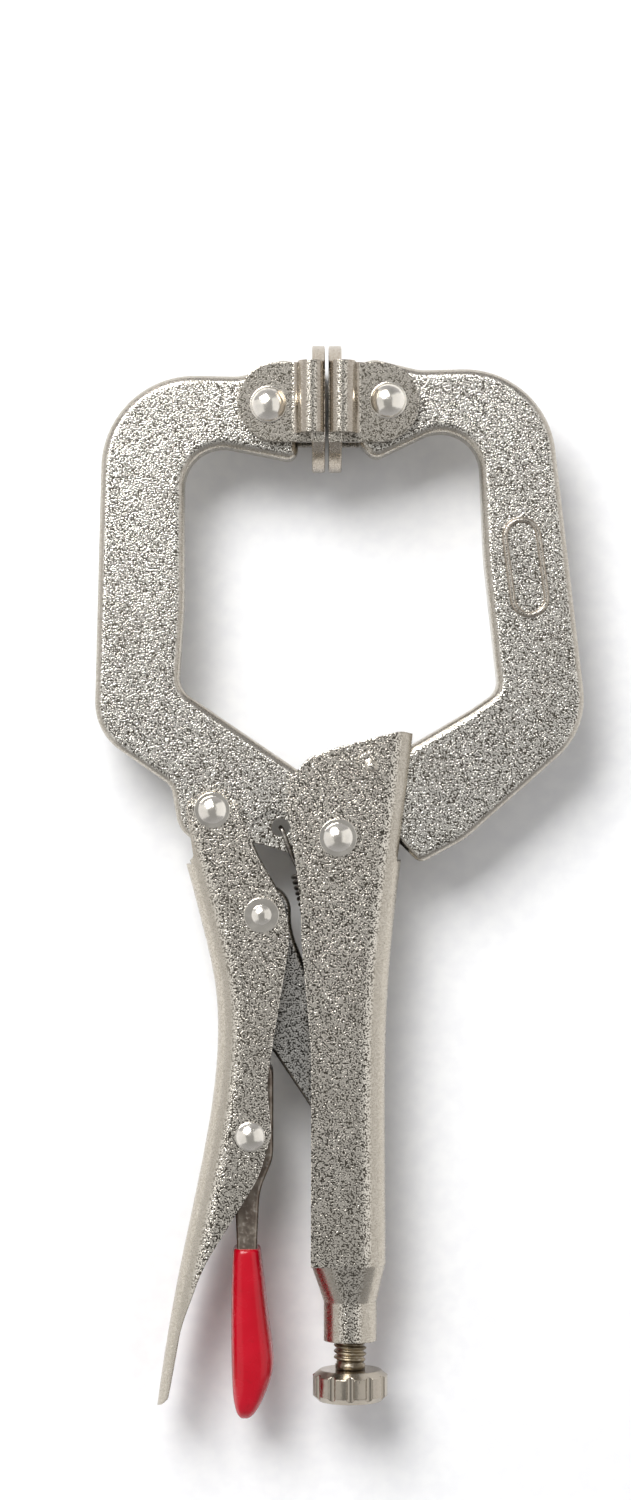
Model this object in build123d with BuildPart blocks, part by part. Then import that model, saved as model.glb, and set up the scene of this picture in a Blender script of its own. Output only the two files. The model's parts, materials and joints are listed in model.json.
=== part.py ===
from build123d import *
from math import asin, cos, sin
import os

os.makedirs("parts", exist_ok=True)

# Locking C-clamp pliers with swivel pads, closed and locked, lying on one side.
# Millimetres. Sketches are drawn on MID, the tool's middle plane, with the main pivot at (0, 0),
# +X towards the fixed jaw's side and +Y towards the pads.

# ---------------------------------------------------------------- driving dimensions
SHEET = 1.6                      # steel sheet that both handles are folded from
JAW_THICK = 7.8                  # forged jaws
SIDE_GAP = 0.3                   # between a jaw and a handle wall
FOLD_R = 4.0                     # outer radius of the folded channels
FORGED_R = 1.3                   # rounding of the forged edges
RUN_FIT = 0.05                   # radial clearance of a turning rivet
HELD_FIT = 0.02                  # radial clearance of a rivet that holds pieces of one body

PLATE = 2.0                      # pad sheet
PAD_R = 9.8                      # pad disc, cut flat on both sides
PAD_LIP = 1.3                    # how far the disc's flats stand over the folds' centres
PAD_EDGE = 0.3
HEM_R = 2.05                     # rounded fold between pad disc and ear
HEM_Z = 7.35                     # height of the fold's centre over the middle plane
HEM_HALF = 5.5                   # half length of the fold
HEM_ROOT = 1.0                   # hollow between the fold and the ear
PAD_Y = 66.1                     # height of the pad discs' centre
HEM_Y = 67.45                    # height of the folds' middle
EAR_Y = 66.75                    # height of the ears' round ends
EAR_R = 6.1
EAR_PAST = 1.35                  # how far the ears' round centres fall short of the rivet

MAIN_PIVOT = (0, 0)
FIXED_JAW_PIN = (5.05, 11.0)
HANDLE_PIVOT = (-19.3, 4.2)
LINK_PIVOT = (-11.75, -11.9)
LEVER_PIVOT = (-13.5, -45.9)
MOVING_PAD_PIVOT = (-10.7, 66.4)
FIXED_PAD_PIVOT = (7.7, 67.0)
MOVING_PAD_FACE = -2.0           # contact faces of the two pads
FIXED_PAD_FACE = -1.45
SPRING_HOLE = (-8.85, 1.45)

SCREW_X = 1.9
THREAD_R = 2.55
THREAD_PITCH = 0.93
THREAD_DEPTH = 0.5
SCREW_TIP = -51.2                # end of the screw, short of the link's end
THREAD_END = -81.5
NECK_END = -77.9
NECK_R = 4.1
KNOB_R = 5.8
KNOB_TOP = -82.4
KNOB_END = -87.2
KNOB_FLUTES = 12

BLOCK_WIDE = 40                  # wider than any channel, before its outline is cut

# ---------------------------------------------------------------- derived sizes
JAW_HALF = JAW_THICK / 2
INNER = JAW_HALF + SIDE_GAP      # inner half width of the channels
OUTER = INNER + SHEET            # outer half width of the channels
REST_Z = HEM_Z + HEM_R           # the pads' folds touch the table first
OFFSET_X = -0.24                 # puts the origin under the middle of the outline
OFFSET_Y = 6.575
MID = Plane((OFFSET_X, OFFSET_Y, REST_Z))


def at(point, z=0.0):
    """A point of the middle plane, z above it, in the row frame."""
    return Vector(OFFSET_X + point[0], OFFSET_Y + point[1], REST_Z + z)


def slab(corners, radii, low, high):
    """A flat piece between two heights, its outline a polyline with rounded corners."""
    with BuildPart() as piece:
        with BuildSketch(MID.offset(low)):
            with BuildLine():
                FilletPolyline(*corners, radius=radii, close=True)
            make_face()
        extrude(amount=high - low)
    return piece.part


def forged(corners, radii, half, rounding):
    """A slab centred on the middle plane with all its long edges rounded."""
    with BuildPart() as piece:
        add(slab(corners, radii, -half, half))
        fillet(piece.faces().filter_by(Axis.Z).edges(), rounding)
    return piece.part


def folded(back, mouth, shift, half, rounding):
    """A channel's full block: its back follows a curve, moved by shift, with both folds rounded."""
    far = back[0][0] + mouth * BLOCK_WIDE
    with BuildPart() as block:
        with BuildSketch(MID.offset(-half)):
            with BuildLine():
                curve = Spline(*[(x + mouth * shift, y) for x, y in back])
                Polyline(curve @ 1, (far, back[-1][1]), (far, back[0][1]), curve @ 0)
            make_face()
        extrude(amount=2 * half)
        along = block.edges().filter_by(lambda e: abs(e.length - curve.length) < 0.01)
        fillet(along, rounding)
    return block.part


def rivet(where, shank, head, grip, flange, dome, crown):
    """A two-headed rivet: shank, flat flange and a domed crown at both ends."""
    ball = (dome * dome + crown * crown) / (2 * crown)
    half_angle = asin(dome / ball) / 2
    shoulder = grip + flange
    middle = (ball * sin(half_angle), shoulder + crown - ball * (1 - cos(half_angle)))
    with BuildPart() as pin:
        with BuildSketch(Plane(at(where), x_dir=(1, 0, 0), z_dir=(0, -1, 0))):
            with BuildLine():
                Polyline((0, 0), (shank, 0), (shank, grip), (head, grip), (head, shoulder))
                Line((head, shoulder), (dome, shoulder))
                ThreePointArc((dome, shoulder), middle, (0, shoulder + crown))
                Line((0, shoulder + crown), (0, 0))
            make_face()
        revolve(axis=Axis(at(where), (0, 0, 1)))
        mirror(about=MID)
    return pin.part


def drill(where, radius):
    """Cuts a hole through everything at a pivot."""
    with Locations(at(where)):
        Cylinder(radius, 6 * OUTER, mode=Mode.SUBTRACT)


# ---------------------------------------------------------------- rivet shanks
MAIN_SHANK = 2.4
HANDLE_SHANK = 2.2
LINK_SHANK = 2.0
LEVER_SHANK = 1.6
FIXED_JAW_SHANK = 1.8
PAD_SHANK = 1.9
EAR_TOP = INNER + 1.7            # outer face of a pad's ear

# ---------------------------------------------------------------- fixed handle
FIXED_BACK = [(12.3, 18), (10.6, 3), (8.7, -12), (7.5, -27), (7.25, -40), (7.3, -55), (7.3, -70)]
CHANNEL_END = -66.0
TUBE_TOP = CHANNEL_END - 5.8
NECK_WIDE = 11.4                 # a hair inside the channel's section
NECK_DEEP = 2 * OUTER - 0.1
NECK_FOLD = FOLD_R + 0.1
NECK_X = 1.55                    # middle of the channel where the neck starts
SEAM = 0.4                       # gap where the wrapped sheet meets
WINDOW_MIDDLE = (12, 7.5)        # opening in the web for the fixed jaw
WINDOW_LONG = 22.2
TAB_WINDOW = (6.6, -33.5)        # opening that the spring's tab is cut from
TAB_HALF = 1.5
with BuildPart() as fixed_handle:
    add(folded(FIXED_BACK, -1, 0, OUTER, FOLD_R))
    add(folded(FIXED_BACK, -1, SHEET, INNER, FOLD_R - SHEET), mode=Mode.SUBTRACT)
    add(
        slab(
            [
                (-7.4, 8.9), (-4.6, 12.2), (0.5, 14.0), (9.6, 16.3), (12.0, 15.8), (14, 8),
                (14, CHANNEL_END), (-4.2, CHANNEL_END), (-4.1, -33), (-5.6, -16.5), (-5.8, -9.5),
                (-7.5, 3.5),
            ],
            [1.6, 4, 10, 2.5, 1, 1, 0, 0, 40, 15, 15, 15],
            -OUTER,
            OUTER,
        ),
        mode=Mode.INTERSECT,
    )
    # the web is open where the fixed jaw comes out
    with Locations(at(WINDOW_MIDDLE)):
        Box(10, WINDOW_LONG, JAW_THICK + 0.1, mode=Mode.SUBTRACT)
    # neck: the channel drawn in to a tube round the screw
    for wall, tube, mode in ((0, NECK_R, Mode.ADD), (SHEET, THREAD_R + RUN_FIT, Mode.SUBTRACT)):
        with BuildSketch(Plane(at((NECK_X, CHANNEL_END)), x_dir=(1, 0, 0), z_dir=(0, -1, 0))):
            RectangleRounded(NECK_WIDE - 2 * wall, NECK_DEEP - 2 * wall, NECK_FOLD - wall)
        with BuildSketch(Plane(at((SCREW_X, TUBE_TOP)), x_dir=(1, 0, 0), z_dir=(0, -1, 0))):
            RectangleRounded(2 * tube, 2 * tube, 0.98 * tube)
        loft(mode=mode)
        if mode == Mode.ADD:
            with Locations(Location(at((SCREW_X, (TUBE_TOP + NECK_END) / 2)), (90, 0, 0))):
                Cylinder(NECK_R, TUBE_TOP - NECK_END)
    with Locations(Location(at((SCREW_X, (CHANNEL_END + NECK_END) / 2)), (90, 0, 0))):
        Cylinder(THREAD_R + RUN_FIT, CHANNEL_END - NECK_END, mode=Mode.SUBTRACT)
    # the seam where the wrapped sheet meets
    with Locations(at((SCREW_X - NECK_R, (CHANNEL_END + NECK_END) / 2 - 1))):
        Box(2 * NECK_R - 0.4, CHANNEL_END - NECK_END + 2, SEAM, mode=Mode.SUBTRACT)
    # the tab for the spring, lanced from the back
    with Locations(at(TAB_WINDOW)):
        Box(5, 5.6, 2 * TAB_HALF + 0.4, mode=Mode.SUBTRACT)
    tab = [(6.9, -29.4), (1.6, -34.0), (2.6, -35.2), (7.4, -31.0)]
    add(slab(tab, [0, 0.4, 0.4, 0], -TAB_HALF, TAB_HALF))
    drill(MAIN_PIVOT, MAIN_SHANK + HELD_FIT)
    drill(FIXED_JAW_PIN, FIXED_JAW_SHANK + HELD_FIT)
fixed_handle.part.label = "fixed_handle"
export_step(fixed_handle.part, "parts/fixed_handle.step")

# ---------------------------------------------------------------- fixed jaw
SOCKET_R = 5.0                   # hollow in the tang, round the moving jaw's boss
BORDER_MIDDLE = (28.85, 41.5)    # raised border on the arm
BORDER_LONG = 15.4
BORDER_WIDE = 5.6
BORDER_LINE = 0.5
BORDER_RISE = 0.25
with BuildPart() as fixed_jaw:
    add(
        forged(
            [
                (3.2, 72.9), (3.2, 60.6), (5.6, 58.1), (21.55, 65.8), (22.5, 43.0), (24.75, 22.5),
                (20.4, 19.5), (7.5, 11.9), (7.5, 1.0), (12.6, -4.1), (19.5, -0.4), (38.55, 16.46),
                (32.0, 72.4), (12.5, 71.9), (5.6, 73.6),
            ],
            [1.4, 1.4, 1.8, 6.1, 60, 3.0, 20, 1.4, 1.4, 1.5, 12, 12, 14.1, 8, 3],
            JAW_HALF,
            FORGED_R,
        )
    )
    # tang, inside the handle
    add(
        slab(
            [
                (9.6, 13.0), (9.3, 14.9), (1.5, 13.5), (-1.9, 12.2), (-2.3, 9.9), (1.0, 5.6),
                (5.4, 0), (9.2, -0.7),
            ],
            [0.5, 1, 4, 1, 1, 1, 1, 0.5],
            -JAW_HALF,
            JAW_HALF,
        )
    )
    drill(MAIN_PIVOT, SOCKET_R)
    drill(FIXED_JAW_PIN, FIXED_JAW_SHANK + HELD_FIT)
    drill(FIXED_PAD_PIVOT, PAD_SHANK + HELD_FIT)
    # plain raised border on the outer face of the arm
    with BuildSketch(Plane(at(BORDER_MIDDLE, JAW_HALF), x_dir=(0.13, -0.99, 0), z_dir=(0, 0, 1))):
        SlotOverall(BORDER_LONG, BORDER_WIDE)
        SlotOverall(BORDER_LONG - 2 * BORDER_LINE, BORDER_WIDE - 2 * BORDER_LINE, mode=Mode.SUBTRACT)
    extrude(amount=BORDER_RISE)
fixed_jaw.part.label = "fixed_jaw"
export_step(fixed_jaw.part, "parts/fixed_jaw.step")

# ---------------------------------------------------------------- moving jaw
BOSS_R = 4.6
SPRING_HOLE_R = 1.45
FIELD_DEEP = 0.9                 # sunk field round the spring's hole
with BuildPart() as moving_jaw:
    add(
        forged(
            [
                (-6.2, 72.9), (-8.6, 73.6), (-14.6, 70.9), (-36.1, 71.4), (-37.55, 16.1), (-25.7, 7.9),
                (-24.2, -0.9), (-12.5, -0.9), (-4.0, -3.6), (1.5, 1.5), (-2.2, 7.6), (-24.6, 22.8),
                (-23.7, 36), (-23.7, 61.3), (-6.2, 57.8),
            ],
            [1.4, 3, 8, 14.4, 9, 3, 4.8, 10, 1.5, 1.4, 1.4, 3.5, 30, 6.0, 1.6],
            JAW_HALF,
            FORGED_R,
        )
    )
    with Locations(at(MAIN_PIVOT)):
        Cylinder(BOSS_R, JAW_THICK)
    # sunk field that gives the spring's end room under the handle wall
    for low in (JAW_HALF - FIELD_DEEP, -JAW_HALF - 0.1):
        add(
            slab(
                [
                    (-13.8, -0.6), (-13.4, 2.4), (-10.1, 4.3), (-7.2, 3.4), (-4.8, 0.5),
                    (-4.6, -5.0), (-13.0, -5.0),
                ],
                [1, 1.5, 2, 1, 1, 1, 1],
                low,
                low + FIELD_DEEP + 0.1,
            ),
            mode=Mode.SUBTRACT,
        )
    drill(MAIN_PIVOT, MAIN_SHANK + RUN_FIT)
    drill(HANDLE_PIVOT, HANDLE_SHANK + RUN_FIT)
    drill(SPRING_HOLE, SPRING_HOLE_R)
    drill(MOVING_PAD_PIVOT, PAD_SHANK + HELD_FIT)
moving_jaw.part.label = "moving_jaw"
export_step(moving_jaw.part, "parts/moving_jaw.step")

# ---------------------------------------------------------------- moving handle
MOVING_BACK = [
    (-26.2, 5), (-23.4, -4.2), (-20.8, -14.0), (-18.9, -23.0), (-18.5, -30), (-19.4, -41),
    (-22.2, -56), (-24.7, -68), (-26.8, -80), (-28.4, -92),
]
LOBE_R = 4.0                     # round the pivot on the jaw
WEB_TOP = -4.2
HANDLE_END = -87.6
TAIL_R = 6.5                     # corners of the tail, seen from the back
TAIL_HALF = 8
with BuildPart() as moving_handle:
    add(folded(MOVING_BACK, 1, 0, OUTER, FOLD_R))
    add(folded(MOVING_BACK, 1, SHEET, INNER, FOLD_R - SHEET), mode=Mode.SUBTRACT)
    with BuildSketch(MID.offset(-OUTER)):
        with BuildLine():
            FilletPolyline(
                (-8.2, -10.4), (-7.4, -15.6), (-10.95, -37.6), (-10.2, -45.6), (-12.2, -52.2),
                (-20.7, -66.0), (-24.2, -75.5), (-26.1, -86.2), (-27.4, HANDLE_END), (-32, HANDLE_END),
                (-32, WEB_TOP), (-23.4, WEB_TOP), (-22.2, -3.0), (-23.3, 4.2), (-15.3, 4.2), (-12.4, -3.0),
                radius=[7, 10, 14, 5, 14, 25, 30, 1.0, 0.6, 0, 0, 0.5, 0.8, 0.5, 1, 20],
                close=True,
            )
        make_face()
        with Locations(HANDLE_PIVOT):
            Circle(LOBE_R)
    extrude(amount=2 * OUTER, mode=Mode.INTERSECT)
    # the web starts below the jaw
    with Locations(at((-20, WEB_TOP + 10))):
        Box(24, 20, 2 * INNER, mode=Mode.SUBTRACT)
    for pivot, shank in (
        (HANDLE_PIVOT, HANDLE_SHANK),
        (LINK_PIVOT, LINK_SHANK),
        (LEVER_PIVOT, LEVER_SHANK),
    ):
        drill(pivot, shank + HELD_FIT)
    # the tail is rounded when seen from the back
    with BuildSketch(Plane(at((-20, 0)), x_dir=(0, 1, 0), z_dir=(1, 0, 0))):
        with BuildLine():
            FilletPolyline(
                (20, TAIL_HALF), (20, -TAIL_HALF), (HANDLE_END, -TAIL_HALF), (HANDLE_END, TAIL_HALF),
                radius=[0, 0, TAIL_R, TAIL_R],
                close=True,
            )
        make_face()
    extrude(amount=20, both=True, mode=Mode.INTERSECT)
moving_handle.part.label = "moving_handle"
export_step(moving_handle.part, "parts/moving_handle.step")

# ---------------------------------------------------------------- toggle link
LINK_HALF = 3.3
LINK_EDGE = 0.6
with BuildPart() as toggle_link:
    add(
        forged(
            [
                (-16.4, -7.4), (-7.3, -7.4), (-7.3, -14.4), (5.4, -47.4), (1.0, -49.4),
                (-9.9, -33.1), (-13.0, -30.6),
            ],
            [4.0, 4.0, 12, 2.2, 2.2, 2.5, 1.5],
            LINK_HALF,
            LINK_EDGE,
        )
    )
    drill(LINK_PIVOT, LINK_SHANK + RUN_FIT)
toggle_link.part.label = "toggle_link"
export_step(toggle_link.part, "parts/toggle_link.step")

# ---------------------------------------------------------------- adjusting screw and knob
SHANK_R = 2.3
STUB_R = 1.9
STUB_END = -86.2
STUB_GAP = 0.15                  # between the stub's end and the knob's socket
CREST = 0.16                     # flat of a thread's crest, as a share of the pitch
KNOB_CHAMFER = 0.9
KNOB_RIM = 1.1                   # slope round the knob's inner face
FLUTE_R = 0.7
FLUTE_OUT = 0.25                 # how far the flutes' centres lie outside the rim
SCREW_PLANE = Plane(at((SCREW_X, 0)), x_dir=(1, 0, 0), z_dir=(0, 0, 1))
SCREW_AXIS = Axis(at((SCREW_X, 0)), (0, 1, 0))
with BuildPart() as adjusting_screw:
    with BuildSketch(SCREW_PLANE):
        with BuildLine():
            turns = int((SCREW_TIP - THREAD_END) / THREAD_PITCH)
            ridge = [(0, SCREW_TIP), (THREAD_R - THREAD_DEPTH, SCREW_TIP)]
            for turn in range(turns):
                top = SCREW_TIP - turn * THREAD_PITCH
                ridge += [(THREAD_R, top - THREAD_PITCH * (1 - CREST) / 2)]
                ridge += [(THREAD_R, top - THREAD_PITCH * (1 + CREST) / 2)]
                ridge += [(THREAD_R - THREAD_DEPTH, top - THREAD_PITCH)]
            ridge += [(SHANK_R, THREAD_END), (SHANK_R, KNOB_TOP + 0.1), (STUB_R, KNOB_TOP + 0.1)]
            ridge += [(STUB_R, STUB_END), (0, STUB_END)]
            Polyline(*ridge, close=True)
        make_face()
    revolve(axis=SCREW_AXIS)
adjusting_screw.part.label = "adjusting_screw"
export_step(adjusting_screw.part, "parts/adjusting_screw.step")

with BuildPart() as screw_knob:
    with BuildSketch(SCREW_PLANE):
        with BuildLine():
            Polyline(
                (STUB_R + RUN_FIT, KNOB_TOP), (KNOB_R - KNOB_RIM, KNOB_TOP),
                (KNOB_R, KNOB_TOP - KNOB_CHAMFER), (KNOB_R, KNOB_END + KNOB_CHAMFER),
                (KNOB_R - KNOB_CHAMFER, KNOB_END), (0, KNOB_END),
                (0, STUB_END - STUB_GAP), (STUB_R + RUN_FIT, STUB_END - STUB_GAP), close=True,
            )
        make_face()
    revolve(axis=SCREW_AXIS)
    with BuildSketch(Plane(at((SCREW_X, KNOB_TOP)), x_dir=(1, 0, 0), z_dir=(0, -1, 0))):
        with PolarLocations(KNOB_R + FLUTE_OUT, KNOB_FLUTES):
            Circle(FLUTE_R)
    extrude(amount=KNOB_TOP - KNOB_END, mode=Mode.SUBTRACT)
screw_knob.part.label = "screw_knob"
export_step(screw_knob.part, "parts/screw_knob.step")

# ---------------------------------------------------------------- release lever and grip
LEVER_HALF = 3.6
LEVER_SHEET = 1.4
LEVER_EDGE = 0.5
LEVER_FRONT = [(-10.0, -34.6), (-10.0, -49.5), (-12.1, -54.5), (-12.5, -63), (-12.9, -85.5)]
LEVER_FRONT_R = [2, 6, 12, 30, 1]
with BuildPart() as release_lever:
    add(
        slab(
            LEVER_FRONT + [(-14.9, -85.5), (-15.6, -62), (-16.2, -50), (-16.2, -40), (-13.2, -34.6)],
            LEVER_FRONT_R + [1, 30, 8, 6, 1.4],
            -LEVER_HALF,
            LEVER_HALF,
        )
    )
    fillet(release_lever.faces().filter_by(Axis.Z).edges(), LEVER_EDGE)
    hollow = [(x - LEVER_SHEET, y) for x, y in LEVER_FRONT]
    hollow[0] = (hollow[0][0], hollow[0][1] - LEVER_SHEET)
    hollow[-1] = (hollow[-1][0], hollow[-1][1] + LEVER_SHEET)
    add(
        slab(
            hollow + [(-20, hollow[-1][1]), (-20, hollow[0][1])],
            [1, 4.5, 12, 30, 0.5, 0, 0],
            LEVER_SHEET - LEVER_HALF,
            LEVER_HALF - LEVER_SHEET,
        ),
        mode=Mode.SUBTRACT,
    )
    drill(LEVER_PIVOT, LEVER_SHANK + RUN_FIT)
release_lever.part.label = "release_lever"
export_step(release_lever.part, "parts/release_lever.step")

GRIP_HALF = 4.8
GRIP_EDGE = 1.1
with BuildPart() as release_grip:
    add(
        forged(
            [
                (-15.9, -63.4), (-16.5, -74.0), (-16.3, -84.5), (-14.7, -93.3), (-10.1, -81.6),
                (-11.0, -72.5), (-12.1, -63.4),
            ],
            [1.2, 40, 12, 1.4, 9, 40, 1.2],
            GRIP_HALF,
            GRIP_EDGE,
        )
    )
    add(release_lever.part, mode=Mode.SUBTRACT)
release_grip.part.label = "release_grip"
export_step(release_grip.part, "parts/release_grip.step")

# ---------------------------------------------------------------- return spring
WIRE_R = 0.4
COIL_R = 2.3
COIL_TOP = (-5.2, -5.6)
COIL_END = (0.0, -25.0)
with BuildPart() as return_spring:
    lean = Vector(COIL_END[0] - COIL_TOP[0], COIL_END[1] - COIL_TOP[1], 0)
    with BuildSketch(Plane(at(COIL_TOP), x_dir=(0, 0, 1), z_dir=lean)):
        Circle(COIL_R)
        Circle(COIL_R - 2 * WIRE_R, mode=Mode.SUBTRACT)
    extrude(amount=lean.length)
    rise = JAW_HALF - 0.45
    side = COIL_R - WIRE_R
    for route in (
        [at(SPRING_HOLE, 0.8), at(SPRING_HOLE, rise), at((-6.7, -3.4), rise), at((-5.2, -6.2), side)],
        [at((-0.2, -24.4), side), at((0.2, -27.0), side), at((0.6, -33.0), 0.9), at((1.5, -36.4), 0.0)],
    ):
        with BuildLine() as wire:
            FilletPolyline(*route, radius=0.6)
        with BuildSketch(Plane(wire.line @ 0, z_dir=wire.line % 0)):
            Circle(WIRE_R)
        sweep(path=wire.line)
return_spring.part.label = "return_spring"
export_step(return_spring.part, "parts/return_spring.step")


# ---------------------------------------------------------------- swivel pads
def swivel_pad(pivot, face, way):
    """A disc and two ears from one sheet, folded between them. way points from the jaw to the face."""
    across = Plane(at((face, HEM_Y)), x_dir=(-way, 0, 0), z_dir=(0, way, 0))
    with BuildPart() as pad:
        with BuildSketch(Plane(at((face, PAD_Y)), x_dir=(0, 1, 0), z_dir=(-way, 0, 0))):
            Circle(PAD_R)
            Rectangle(2 * PAD_R, 2 * HEM_Z + PAD_LIP, mode=Mode.INTERSECT)
        extrude(amount=PLATE)
        fillet(pad.edges().filter_by(GeomType.CIRCLE), PAD_EDGE)
        with BuildSketch(across):
            with Locations((HEM_R, HEM_Z)):
                Circle(HEM_R)
            with Locations((HEM_R / 2, HEM_Z / 2)):
                Rectangle(HEM_R, HEM_Z)
            with Locations((1.5 * HEM_R, (HEM_Z + INNER) / 2)):
                Rectangle(HEM_R, HEM_Z - INNER)
        extrude(amount=HEM_HALF, both=True)
        reach = abs(pivot[0] - face) - EAR_PAST
        with BuildSketch(Plane(at((face, EAR_Y), INNER), x_dir=(-way, 0, 0), z_dir=(0, 0, 1))):
            with Locations((reach, 0)):
                Circle(EAR_R)
            with Locations(((reach + PLATE) / 2, 0)):
                Rectangle(reach - PLATE, 2 * EAR_R)
        extrude(amount=EAR_TOP - INNER)
        corner = at((face - way * 2 * HEM_R, EAR_Y), EAR_TOP)
        root = pad.edges().filter_by(Axis.Y).filter_by(
            lambda edge: abs(edge.center().Z - corner.Z) < 0.01 and abs(edge.center().X - corner.X) < 0.01
        )
        fillet(root, HEM_ROOT)
        mirror(about=MID)
        drill(pivot, PAD_SHANK + RUN_FIT)
    return pad.part


moving_pad = swivel_pad(MOVING_PAD_PIVOT, MOVING_PAD_FACE, 1)
moving_pad.label = "moving_pad"
export_step(moving_pad, "parts/moving_pad.step")

fixed_pad = swivel_pad(FIXED_PAD_PIVOT, FIXED_PAD_FACE, -1)
fixed_pad.label = "fixed_pad"
export_step(fixed_pad, "parts/fixed_pad.step")

# ---------------------------------------------------------------- rivets
# name: pivot, shank radius, head radius, grip, flange height, dome radius, crown height
RIVETS = {
    "main_pivot_rivet": (MAIN_PIVOT, MAIN_SHANK, 2.9, OUTER, 0.45, 2.2, 0.9),
    "fixed_jaw_rivet": (FIXED_JAW_PIN, FIXED_JAW_SHANK, 2.2, OUTER, 0.35, 1.0, 0.35),
    "handle_pivot_rivet": (HANDLE_PIVOT, HANDLE_SHANK, 2.75, OUTER, 0.4, 2.1, 0.8),
    "link_rivet": (LINK_PIVOT, LINK_SHANK, 2.7, OUTER, 0.3, 1.5, 0.55),
    "release_lever_rivet": (LEVER_PIVOT, LEVER_SHANK, 2.3, OUTER, 0.15, 2.1, 0.9),
    "moving_pad_rivet": (MOVING_PAD_PIVOT, PAD_SHANK, 2.83, EAR_TOP + RUN_FIT, 0.2, 2.7, 1.4),
    "fixed_pad_rivet": (FIXED_PAD_PIVOT, PAD_SHANK, 2.83, EAR_TOP + RUN_FIT, 0.2, 2.7, 1.4),
}
for name, sizes in RIVETS.items():
    pin = rivet(*sizes)
    pin.label = name
    export_step(pin, f"parts/{name}.step")
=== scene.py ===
import json
import math

import bmesh
import bpy
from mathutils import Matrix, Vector


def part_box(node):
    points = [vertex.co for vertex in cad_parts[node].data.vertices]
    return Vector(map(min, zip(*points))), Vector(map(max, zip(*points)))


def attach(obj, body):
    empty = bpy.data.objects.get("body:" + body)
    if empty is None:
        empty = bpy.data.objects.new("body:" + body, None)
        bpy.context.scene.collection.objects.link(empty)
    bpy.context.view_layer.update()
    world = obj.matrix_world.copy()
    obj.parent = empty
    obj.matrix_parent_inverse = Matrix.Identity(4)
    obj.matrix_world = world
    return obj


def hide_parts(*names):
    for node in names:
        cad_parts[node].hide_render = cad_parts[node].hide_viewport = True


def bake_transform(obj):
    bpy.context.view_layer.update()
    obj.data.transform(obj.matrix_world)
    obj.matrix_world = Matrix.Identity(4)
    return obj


# Locking C-clamp pliers with swivel pads, lying on a pale floor. Metres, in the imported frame.
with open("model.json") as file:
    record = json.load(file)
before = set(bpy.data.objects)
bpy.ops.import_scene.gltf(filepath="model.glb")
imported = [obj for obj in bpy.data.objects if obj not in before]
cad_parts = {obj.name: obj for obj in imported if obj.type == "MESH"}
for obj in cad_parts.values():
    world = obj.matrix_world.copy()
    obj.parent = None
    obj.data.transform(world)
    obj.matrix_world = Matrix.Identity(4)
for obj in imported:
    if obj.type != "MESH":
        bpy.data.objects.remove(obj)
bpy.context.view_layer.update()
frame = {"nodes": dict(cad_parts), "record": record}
MM = 0.001


# ---------------------------------------------------------------- places read from the frame
def centre_of(node):
    """The middle of a CAD node's box."""
    low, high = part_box(node)
    return (Vector(low) + Vector(high)) / 2


PIVOT = centre_of("main_pivot_rivet")        # the main pivot, at the tool's middle plane


def from_pivot(x, y, z=0.0):
    """A place in millimetres from the main pivot, at the middle plane."""
    return PIVOT + Vector((x, y, z)) * MM


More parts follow.
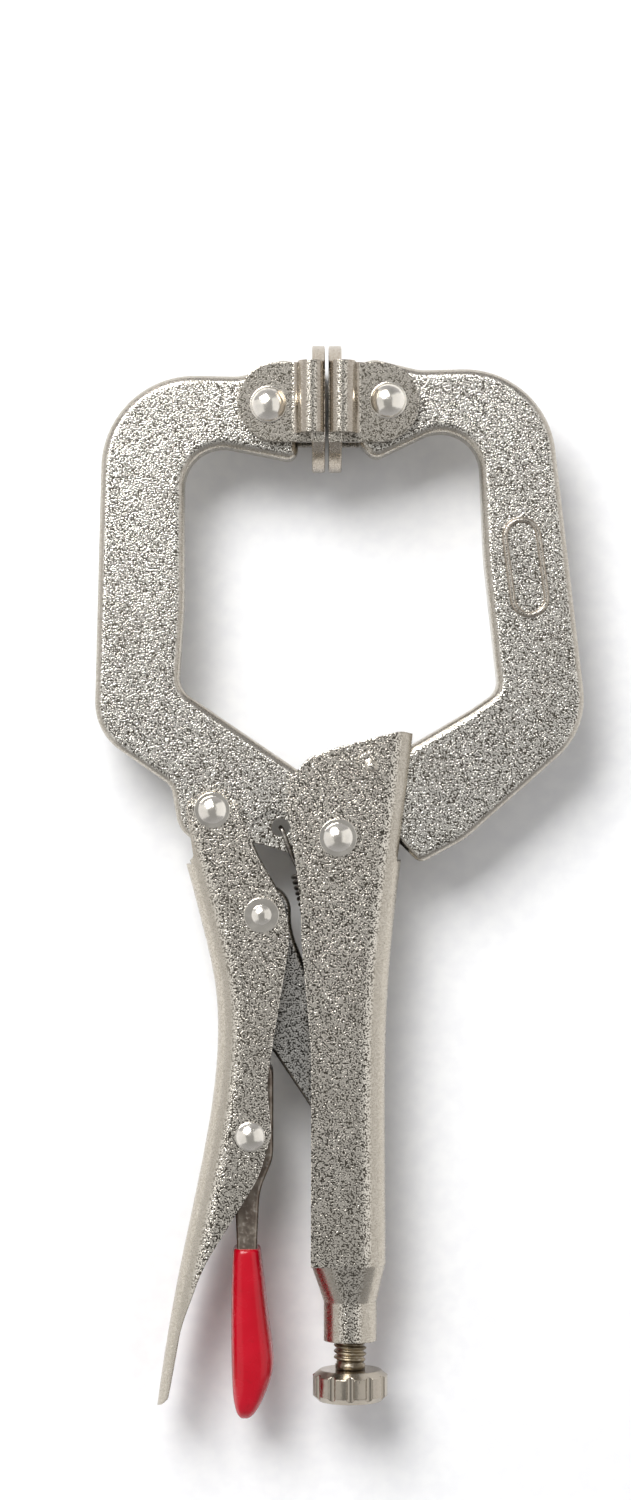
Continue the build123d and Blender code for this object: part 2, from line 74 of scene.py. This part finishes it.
# ---------------------------------------------------------------- node helpers
class Shader:
    """A material's node tree, with short calls for the nodes that the materials share."""

    def __init__(self, name):
        self.material = bpy.data.materials.new(name)
        self.material.use_nodes = True
        self.tree = self.material.node_tree
        self.principled = self.tree.nodes["Principled BSDF"]
        self.place = self.node("ShaderNodeTexCoord").outputs["Object"]

    def node(self, kind, **inputs):
        """A new node, each named input fed by a socket or set to a number."""
        made = self.tree.nodes.new(kind)
        for key, value in inputs.items():
            socket = made.inputs[key.replace("_", " ")]
            if isinstance(value, bpy.types.NodeSocket):
                self.tree.links.new(value, socket)
            else:
                socket.default_value = value
        return made

    def noise(self, size, detail=2.0, roughness=0.5):
        """Noise whose features are about size metres wide, between 0 and 1."""
        made = self.node("ShaderNodeTexNoise", Scale=0.6 / size, Detail=detail, Roughness=roughness)
        self.tree.links.new(self.place, made.inputs["Vector"])
        return made.outputs["Fac"]

    def cells(self, size):
        """Distance to the nearest of scattered points about size metres apart."""
        made = self.node("ShaderNodeTexVoronoi", Scale=1.0 / size, Randomness=1.0)
        self.tree.links.new(self.place, made.inputs["Vector"])
        return made.outputs["Distance"]

    def ramp(self, value, low, high, start=0.0, end=1.0):
        """value mapped from low..high to start..end, smoothly and clamped."""
        made = self.node("ShaderNodeMapRange", Value=value)
        made.interpolation_type = "SMOOTHSTEP"
        for key, number in (("From Min", low), ("From Max", high), ("To Min", start), ("To Max", end)):
            made.inputs[key].default_value = number
        return made.outputs["Result"]

    def math(self, operation, a, b=0.0):
        """The result of one sum on values or sockets."""
        made = self.tree.nodes.new("ShaderNodeMath")
        made.operation = operation
        for socket, value in zip(made.inputs, (a, b)):
            if isinstance(value, bpy.types.NodeSocket):
                self.tree.links.new(value, socket)
            else:
                socket.default_value = value
        return made.outputs[0]

    def mix(self, factor, first, second):
        """A colour between first and second."""
        made = self.tree.nodes.new("ShaderNodeMix")
        made.data_type = "RGBA"
        factor_socket, first_socket, second_socket = made.inputs[0], made.inputs[6], made.inputs[7]
        for socket, value in ((factor_socket, factor), (first_socket, first), (second_socket, second)):
            if isinstance(value, bpy.types.NodeSocket):
                self.tree.links.new(value, socket)
            elif isinstance(value, tuple):
                socket.default_value = (*value, 1.0)
            else:
                socket.default_value = value
        colour_result = 2
        return made.outputs[colour_result]

    def facing_up(self):
        """1 on the flat faces, towards 0 on the sides: the object's own normal along Z."""
        parts = self.node("ShaderNodeSeparateXYZ")
        self.tree.links.new(self.node("ShaderNodeTexCoord").outputs["Normal"], parts.inputs[0])
        return self.math("ABSOLUTE", parts.outputs["Z"])

    def bump(self, height, distance, strength, edge=0.0):
        """Bump of a height in 0..1 that stands distance metres proud, over edges rounded by edge metres."""
        made = self.node("ShaderNodeBump", Height=height, Distance=distance, Strength=strength)
        if edge:
            rounded = self.node("ShaderNodeBevel", Radius=edge)
            rounded.samples = 6
            self.tree.links.new(rounded.outputs[0], made.inputs["Normal"])
        self.tree.links.new(made.outputs[0], self.principled.inputs["Normal"])

    def surface(self, **values):
        """Sets the shader's own inputs, and gives the finished material."""
        for key, value in values.items():
            socket = self.principled.inputs[key.replace("_", " ")]
            if isinstance(value, bpy.types.NodeSocket):
                self.tree.links.new(value, socket)
            elif isinstance(value, tuple):
                socket.default_value = (*value, 1.0)
            else:
                socket.default_value = value
        return self.material


# ---------------------------------------------------------------- materials
FLAT_FROM, FLAT_TO = 0.86, 0.99              # the normal's Z where a side ends and a flat face begins
DULL_BELOW, BRIGHT_ABOVE = 0.43, 0.535       # the speckle's values for a dull grain and for a bright one
SIDE_RELIEF = 0.18                           # the grain's height on a side, as a part of that on a flat
FINE_SHARE, COARSE_SHARE = 0.75, 0.25        # how much each size of grain counts in the speckle
COARSE_TIMES = 2.6                           # a coarse grain's width, in fine grains
PATCH = 9 * MM                               # the width of the patches where the plating is warmer


def nickel(name, bright, dull, side, grain, relief, roughness, edge):
    """Plated steel: bright and dull grains on the flats, and round the sides a darker, warmer colour that is
    painted shade.
    """
    s = Shader(name)
    fine = s.noise(grain, detail=1.0, roughness=0.4)
    coarse = s.noise(grain * COARSE_TIMES, detail=2.0, roughness=0.6)
    patches = s.noise(PATCH, detail=3.0)
    fine_part, coarse_part = s.math("MULTIPLY", fine, FINE_SHARE), s.math("MULTIPLY", coarse, COARSE_SHARE)
    speckle = s.math("ADD", fine_part, coarse_part)
    flat = s.ramp(s.facing_up(), FLAT_FROM, FLAT_TO)
    face = s.mix(s.ramp(speckle, DULL_BELOW, BRIGHT_ABOVE), dull, bright)
    # The rounded sides take the darker side colour, flecked with a little of the bright grain; this side
    # colour is painted shade.
    painted_side_shade = s.mix(s.ramp(speckle, 0.3, 0.7, 0.0, 0.35), side, bright)
    colour = s.mix(flat, painted_side_shade, face)
    colour = s.mix(s.ramp(patches, 0.35, 0.75, 0.0, 0.15), colour, side)
    rough = s.ramp(speckle, 0.35, 0.65, roughness + 0.10, roughness - 0.08)
    height = s.math("MULTIPLY", speckle, s.ramp(flat, 0.0, 1.0, SIDE_RELIEF, 1.0))
    s.bump(height, relief, 1.0, edge)
    return s.surface(Base_Color=colour, Metallic=1.0, Roughness=rough)


def polished(name, colour, roughness, edge):
    """Smooth nickel with faint tool marks, tiny pits and a little dirt."""
    s = Shader(name)
    marks = s.noise(0.7 * MM, detail=4.0, roughness=0.6)
    pits = s.cells(1.1 * MM)
    dirt = s.ramp(s.noise(2.2 * MM, detail=3.0), 0.45, 0.8, 0.0, 0.35)
    tone = s.mix(dirt, colour, tuple(0.55 * c for c in colour))
    height = s.math("ADD", s.math("MULTIPLY", marks, 0.6), s.ramp(pits, 0.0, 0.22, 0.0, 0.4))
    s.bump(height, 0.05 * MM, 0.8, edge)
    rough = s.ramp(marks, 0.3, 0.7, roughness, roughness + 0.12)
    return s.surface(Base_Color=tone, Metallic=1.0, Roughness=rough)


def dark_steel(name, base, tint, roughness):
    """Oiled steel, brown in places, bright where it rubs."""
    s = Shader(name)
    stain = s.ramp(s.noise(1.6 * MM, detail=4.0), 0.38, 0.66)
    streak = s.noise(0.35 * MM, detail=2.0)
    colour = s.mix(stain, base, tint)
    rubbed_bright = (0.62, 0.58, 0.52)
    colour = s.mix(s.ramp(streak, 0.52, 0.75, 0.0, 0.45), colour, rubbed_bright)
    s.bump(streak, 0.04 * MM, 0.7, 0.15 * MM)
    rough = s.ramp(streak, 0.3, 0.7, roughness, roughness + 0.15)
    return s.surface(Base_Color=colour, Metallic=1.0, Roughness=rough)


def vinyl(name):
    """Glossy dipped vinyl: even red in soft clouds, darker specks and a faint orange-peel skin."""
    s = Shader(name)
    clouds = s.noise(6 * MM, detail=2.0)
    peel = s.noise(1.3 * MM, detail=1.0)
    specks = s.ramp(s.noise(0.4 * MM, detail=1.0), 0.62, 0.74, 0.0, 0.25)
    deep_red, bright_red, speck_red = (0.42, 0.001, 0.010), (0.53, 0.002, 0.017), (0.30, 0.003, 0.008)
    colour = s.mix(s.ramp(clouds, 0.3, 0.7), deep_red, bright_red)
    colour = s.mix(specks, colour, speck_red)
    s.bump(peel, 0.05 * MM, 0.6)
    rough = s.ramp(peel, 0.3, 0.7, 0.20, 0.30)
    return s.surface(
        Base_Color=colour, Roughness=rough, Coat_Weight=0.2, Coat_Roughness=0.10, Specular_IOR_Level=0.35
    )


def floor_paint(name):
    """Matt near-white paper."""
    s = Shader(name)
    fibre = s.noise(1.5 * MM, detail=3.0)
    colour = s.mix(s.ramp(fibre, 0.3, 0.7), (0.86, 0.86, 0.87), (0.90, 0.90, 0.90))
    s.bump(fibre, 0.02 * MM, 0.3)
    return s.surface(Base_Color=colour, Roughness=0.8)


GRAIN = 0.15 * MM                            # the width of one grain on the plated faces
# In each nickel below, the side colour is painted shade for the rounded sides.
MATERIALS = {
    "forged_nickel": nickel(
        "forged nickel", bright=(1.0, 0.965, 0.885), dull=(0.075, 0.065, 0.05), side=(0.40, 0.36, 0.30),
        grain=GRAIN, relief=0.11 * MM, roughness=0.27, edge=0.28 * MM,
    ),
    "sheet_nickel": nickel(
        "sheet nickel", bright=(1.0, 0.94, 0.835), dull=(0.06, 0.052, 0.04), side=(0.45, 0.405, 0.335),
        grain=GRAIN, relief=0.11 * MM, roughness=0.26, edge=0.30 * MM,
    ),
    "pad_nickel": nickel(
        "pad nickel", bright=(0.92, 0.86, 0.76), dull=(0.10, 0.09, 0.07), side=(0.36, 0.31, 0.25),
        grain=GRAIN * 0.8, relief=0.035 * MM, roughness=0.26, edge=0.24 * MM,
    ),
    "polished_nickel": polished("polished nickel", (0.97, 0.92, 0.83), roughness=0.13, edge=0.20 * MM),
    "screw_steel": dark_steel("screw steel", (0.16, 0.13, 0.09), (0.36, 0.30, 0.21), roughness=0.28),
    "lever_steel": dark_steel("lever steel", (0.20, 0.16, 0.13), (0.34, 0.29, 0.24), roughness=0.30),
    "spring_steel": dark_steel("spring steel", (0.22, 0.20, 0.18), (0.38, 0.36, 0.33), roughness=0.25),
    "red_vinyl": vinyl("red vinyl"),
}
# These two nodes are darker than the rest of their slot, and both darkenings are painted shade.
NODE_MATERIALS = {
    # The link's darker colour is painted shade: the link lies in shade between the handles.
    "toggle_link": nickel(
        "link nickel in painted shade", bright=(0.66, 0.64, 0.60), dull=(0.02, 0.018, 0.015), side=(0.20, 0.18, 0.15),
        grain=GRAIN, relief=0.08 * MM, roughness=0.30, edge=0.28 * MM,
    ),
    # The knob's darker colour is painted shade, standing in for the dark surroundings the knob reflects.
    "screw_knob": polished("knob nickel in painted shade", (0.47, 0.42, 0.35), roughness=0.14, edge=0.20 * MM),
}


def paint(thing, slot_name):
    """Gives a piece the material of a slot."""
    thing.data.materials.clear()
    thing.data.materials.append(MATERIALS[slot_name])


SLOT_OF = {row["node"]: row["material_slot"] for row in frame["record"]["subparts"]}
for node_name, node_object in frame["nodes"].items():
    for slot in node_object.material_slots:
        slot.material = NODE_MATERIALS.get(node_name, MATERIALS[SLOT_OF[node_name]])


# ---------------------------------------------------------------- mesh helpers
def link_to_scene(made):
    bpy.context.scene.collection.objects.link(made)


def piece_from(name, vertices, faces, slot_name):
    """A smooth-shaded piece with its faces turned outwards, painted with its slot's material."""
    mesh = bpy.data.meshes.new(name)
    mesh.from_pydata([tuple(v) for v in vertices], [], faces)
    mesh.validate()
    tidy = bmesh.new()
    tidy.from_mesh(mesh)
    bmesh.ops.recalc_face_normals(tidy, faces=tidy.faces)
    tidy.to_mesh(mesh)
    tidy.free()
    for polygon in mesh.polygons:
        polygon.use_smooth = True
    made = bpy.data.objects.new(name, mesh)
    link_to_scene(made)
    paint(made, slot_name)
    return made


def turns_of(count):
    """Equal steps of angle round a full turn."""
    return [2 * math.pi * k / count for k in range(count)]


def bridged(rings, closed=False):
    """Vertices and faces of a tube through equal rings of points, capped or closed into a loop."""
    count = len(rings[0])
    vertices = [point for ring in rings for point in ring]
    faces = []
    for row in range(len(rings) - 1):
        for k in range(count):
            a, b = row * count + k, row * count + (k + 1) % count
            faces.append((a, b, b + count, a + count))
    last = len(vertices) - count
    if closed:
        faces += [(last + k, last + (k + 1) % count, (k + 1) % count, k) for k in range(count)]
    else:
        faces.append(tuple(reversed(range(count))))
        faces.append(tuple(range(last, last + count)))
    return vertices, faces


def subdivided(corners, steps):
    """Points along straight stretches between corners, without the last corner."""
    stretches = zip(corners, corners[1:])
    return [start.lerp(end, step / steps) for start, end in stretches for step in range(steps)]


def tube_along(path, radius, sides):
    """Rings round a path of points, carried along it without twist."""
    rings = []
    side = None
    for k, point in enumerate(path):
        ahead = path[min(k + 1, len(path) - 1)] - path[max(k - 1, 0)]
        ahead.normalize()
        if side is None:
            side = ahead.orthogonal().normalized()
        side = (side - ahead * side.dot(ahead)).normalized()
        other = ahead.cross(side)
        rings.append([
            point + (side * math.cos(turn) + other * math.sin(turn)) * radius for turn in turns_of(sides)
        ])
    return rings


# ---------------------------------------------------------------- threaded screw
def threaded_screw():
    """The adjusting screw with a true helical thread, a plain neck and a stub that goes into the knob."""
    low, high = (Vector(corner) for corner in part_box("adjusting_screw"))
    axis_x, axis_z = (low.x + high.x) / 2, (low.z + high.z) / 2
    knob_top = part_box("screw_knob")[1][1]
    major_radius, neck_radius, stub_radius = (high.x - low.x) / 2, 2.3 * MM, 1.9 * MM
    pitch, depth, neck = 0.93 * MM, 0.52 * MM, 0.9 * MM
    crest_widening = 1.15                    # widens the thread's crest into a narrow flat
    runout_at_tip, runout_at_neck = 1.5, 1.0     # turns over which the thread fades out
    sides, steps_per_pitch = 40, 8
    thread_end = knob_top + neck
    rows = int((high.y - thread_end) / pitch * steps_per_pitch)

    def ring(y, radii):
        return [
            Vector((axis_x + radius * math.cos(turn), y, axis_z + radius * math.sin(turn)))
            for turn, radius in zip(turns_of(sides), radii)
        ]

    rings = []
    for row in range(rows + 1):
        y = high.y - row * pitch / steps_per_pitch
        fade = min(
            1.0,
            (row + 1) / (runout_at_tip * steps_per_pitch),
            (rows + 1 - row) / (runout_at_neck * steps_per_pitch),
        )
        radii = []
        for turn in turns_of(sides):
            phase = ((high.y - y) / pitch + turn / (2 * math.pi)) % 1.0
            ridge = abs(2 * phase - 1)
            radii.append(major_radius - depth * (1 - min(1.0, ridge * crest_widening) * fade))
        rings.append(ring(y, radii))
    for y, radius in (
        (thread_end - 0.02 * MM, neck_radius),
        (knob_top + 0.10 * MM, neck_radius),
        (knob_top + 0.05 * MM, stub_radius),
        (low.y, stub_radius),
    ):
        rings.append(ring(y, [radius] * sides))
    screw = piece_from("threaded_screw", *bridged(rings), "screw_steel")
    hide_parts("adjusting_screw")
    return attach(screw, "screw")


threaded_screw()


# ---------------------------------------------------------------- return spring
def coil_spring():
    """Extension spring: a hook in the jaw's hole, a leg, the coil, and a hook on the handle's lanced tab."""
    top, end = from_pivot(-5.2, -5.6), from_pivot(0.0, -25.0)
    along = (end - top).normalized()
    across = Vector((along.y, -along.x, 0))
    up = Vector((0, 0, 1))
    wire_radius, wire_sides, coil_radius = 0.36 * MM, 8, 1.9 * MM
    turns, steps_per_turn, steps_per_stretch = 23, 14, 6
    upper_hook = [
        from_pivot(-8.85, 1.45, 0.6), from_pivot(-8.85, 1.45, 2.6), from_pivot(-8.6, 1.1, 3.35),
        from_pivot(-8.0, -0.4, 3.5), from_pivot(-7.2, -2.6, 3.4), from_pivot(-6.3, -4.6, 2.9),
    ]
    coil = []
    for k in range(turns * steps_per_turn + 1):
        turn = 2 * math.pi * k / steps_per_turn
        spot = top.lerp(end, k / (turns * steps_per_turn))
        coil.append(spot + (up * math.cos(turn) + across * math.sin(turn)) * coil_radius)
    lower_hook = [
        end + along * 0.8 * MM + up * 1.7 * MM, from_pivot(0.4, -28.0, 1.2), from_pivot(0.7, -31.5, 0.7),
        from_pivot(0.75, -34.4, 0.4), from_pivot(1.3, -36.0, 0.0), from_pivot(2.5, -36.4, 0.0),
    ]
    path = subdivided(upper_hook, steps_per_stretch) + coil + subdivided(lower_hook, steps_per_stretch)
    rings = tube_along(path, wire_radius, wire_sides)
    spring = piece_from("coil_spring", *bridged(rings), "spring_steel")
    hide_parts("return_spring")
    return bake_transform(spring)


coil_spring()


# ---------------------------------------------------------------- dipped grip
GRIP_RINGS = (
    # place along the tool from the main pivot, left edge, right edge, half thickness, all in millimetres
    (-63.35, -15.8, -12.3, 3.9), (-63.5, -16.2, -11.95, 4.4), (-64.6, -16.3, -11.8, 4.6),
    (-68.0, -16.4, -11.4, 4.75), (-72.0, -16.5, -10.95, 4.8), (-76.0, -16.5, -10.45, 4.8),
    (-79.5, -16.5, -9.95, 4.75), (-81.5, -16.45, -9.85, 4.65), (-83.5, -16.4, -10.2, 4.5),
    (-86.0, -16.3, -11.15, 4.1), (-88.0, -16.0, -12.1, 3.4), (-89.3, -15.6, -13.0, 2.5),
    (-90.0, -15.0, -13.8, 1.3),
)


def dipped_grip():
    """Vinyl sleeve over the lever's tail: rounded sections, a thick front collar and a blunt wedge tip."""
    sides = 32
    squareness = 0.62                        # 1 gives an ellipse, and less gives a fuller, squarer section

    def squared(value):
        return math.copysign(abs(value) ** squareness, value)

    rings = []
    for y, left, right, half_thickness in GRIP_RINGS:
        middle, reach = (left + right) / 2, (right - left) / 2
        rings.append([
            from_pivot(
                middle + reach * squared(math.cos(turn)),
                y,
                half_thickness * squared(math.sin(turn)),
            )
            for turn in turns_of(sides)
        ])
    grip = piece_from("dipped_grip", *bridged(rings), "red_vinyl")
    rounding = grip.modifiers.new("rounding", "SUBSURF")
    rounding.levels = rounding.render_levels = 2
    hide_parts("release_grip")
    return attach(grip, "lever")


dipped_grip()


# ---------------------------------------------------------------- raised border on the fixed jaw's arm
def arm_border():
    """A plain stadium-shaped bead pressed up from the arm's face."""
    middle = from_pivot(28.85, 41.5, 3.95)
    along = Vector((0.13, -0.99, 0)).normalized()
    across = Vector((-along.y, along.x, 0))
    up = Vector((0, 0, 1))
    half_straight, end_radius, end_steps = 4.75 * MM, 2.6 * MM, 16
    bead_radius, bead_sides = 0.46 * MM, 10
    path = []
    for end in (1, -1):
        for step in range(end_steps + 1):
            turn = math.pi * step / end_steps - math.pi / 2
            lengthwise = end * (half_straight + end_radius * math.cos(turn))
            path.append(middle + along * lengthwise + across * end * end_radius * math.sin(turn))
    rings = []
    for k, point in enumerate(path):
        ahead = (path[(k + 1) % len(path)] - path[k - 1]).normalized()
        side = ahead.cross(up)
        rings.append([
            point + (side * math.cos(turn) + up * math.sin(turn)) * bead_radius
            for turn in turns_of(bead_sides)
        ])
    border = piece_from("arm_border", *bridged(rings, closed=True), "pad_nickel")
    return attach(border, "frame")


arm_border()


# ---------------------------------------------------------------- floor, light and camera
FLOOR_REACH, FLOOR_GAP = 6.0, 0.2 * MM       # half the floor's width, and its drop below the tool
LOW_SKY, HIGH_SKY = (0.42, 0.42, 0.44, 1), (0.29, 0.29, 0.29, 1)
LAMPS = (
    # name, place, side of the square, watts
    ("key", (-0.34, 0.62, 0.80), 0.60, 13.0),
    ("fill", (0.90, 0.10, 0.60), 1.5, 3.6),
    ("rim", (-0.90, -0.15, 0.50), 1.4, 2.6),
)
LAMP_TARGET = Vector((0, 0.02, 0))


def paper_floor():
    mesh = bpy.data.meshes.new("floor")
    corners = [(x * FLOOR_REACH, y * FLOOR_REACH, 0) for x, y in ((-1, -1), (1, -1), (1, 1), (-1, 1))]
    mesh.from_pydata(corners, [], [(0, 1, 2, 3)])
    mesh.materials.append(floor_paint("paper"))
    floor = bpy.data.objects.new("floor", mesh)
    floor.location.z = -FLOOR_GAP
    link_to_scene(floor)


def grey_sky():
    """A world that is light round the horizon and darker overhead."""
    world = bpy.data.worlds.new("studio")
    bpy.context.scene.world = world
    world.use_nodes = True
    nodes, links = world.node_tree.nodes, world.node_tree.links
    place = nodes.new("ShaderNodeTexCoord")
    axes = nodes.new("ShaderNodeSeparateXYZ")
    links.new(place.outputs["Generated"], axes.inputs[0])
    # Z from -1..1 becomes 0..1, so 0.5 is the horizon
    lift = nodes.new("ShaderNodeMath")
    lift.operation = "MULTIPLY_ADD"
    lift.inputs[1].default_value = 0.5
    lift.inputs[2].default_value = 0.5
    links.new(axes.outputs["Z"], lift.inputs[0])
    tone = nodes.new("ShaderNodeValToRGB")
    horizon, overhead = tone.color_ramp.elements
    horizon.position, horizon.color = 0.50, LOW_SKY
    overhead.position, overhead.color = 0.90, HIGH_SKY
    links.new(lift.outputs[0], tone.inputs[0])
    links.new(tone.outputs[0], nodes["Background"].inputs["Color"])
    nodes["Background"].inputs["Strength"].default_value = 1.0


def lamps():
    for name, place, side, watts in LAMPS:
        lamp = bpy.data.lights.new(name, "AREA")
        lamp.shape = "RECTANGLE"
        lamp.size = lamp.size_y = side
        lamp.energy = watts
        holder = bpy.data.objects.new(name, lamp)
        holder.location = place
        aim = LAMP_TARGET - Vector(place)
        holder.rotation_euler = aim.to_track_quat("-Z", "Y").to_euler()
        link_to_scene(holder)


def camera():
    """Straight above the tool, its picture upright along +Y."""
    image_centre = from_pivot(-3.465, 13.398, 3.0)
    distance = 0.611
    picture_height = 0.231
    lens = bpy.data.cameras.new("camera")
    lens.sensor_fit = "VERTICAL"
    lens.angle = 2 * math.atan(picture_height / 2 / distance)
    holder = bpy.data.objects.new("camera", lens)
    holder.location = image_centre + Vector((0, 0, distance))
    link_to_scene(holder)
    bpy.context.scene.camera = holder


paper_floor()
grey_sky()
lamps()
camera()
bpy.context.scene.view_settings.view_transform = "Standard"
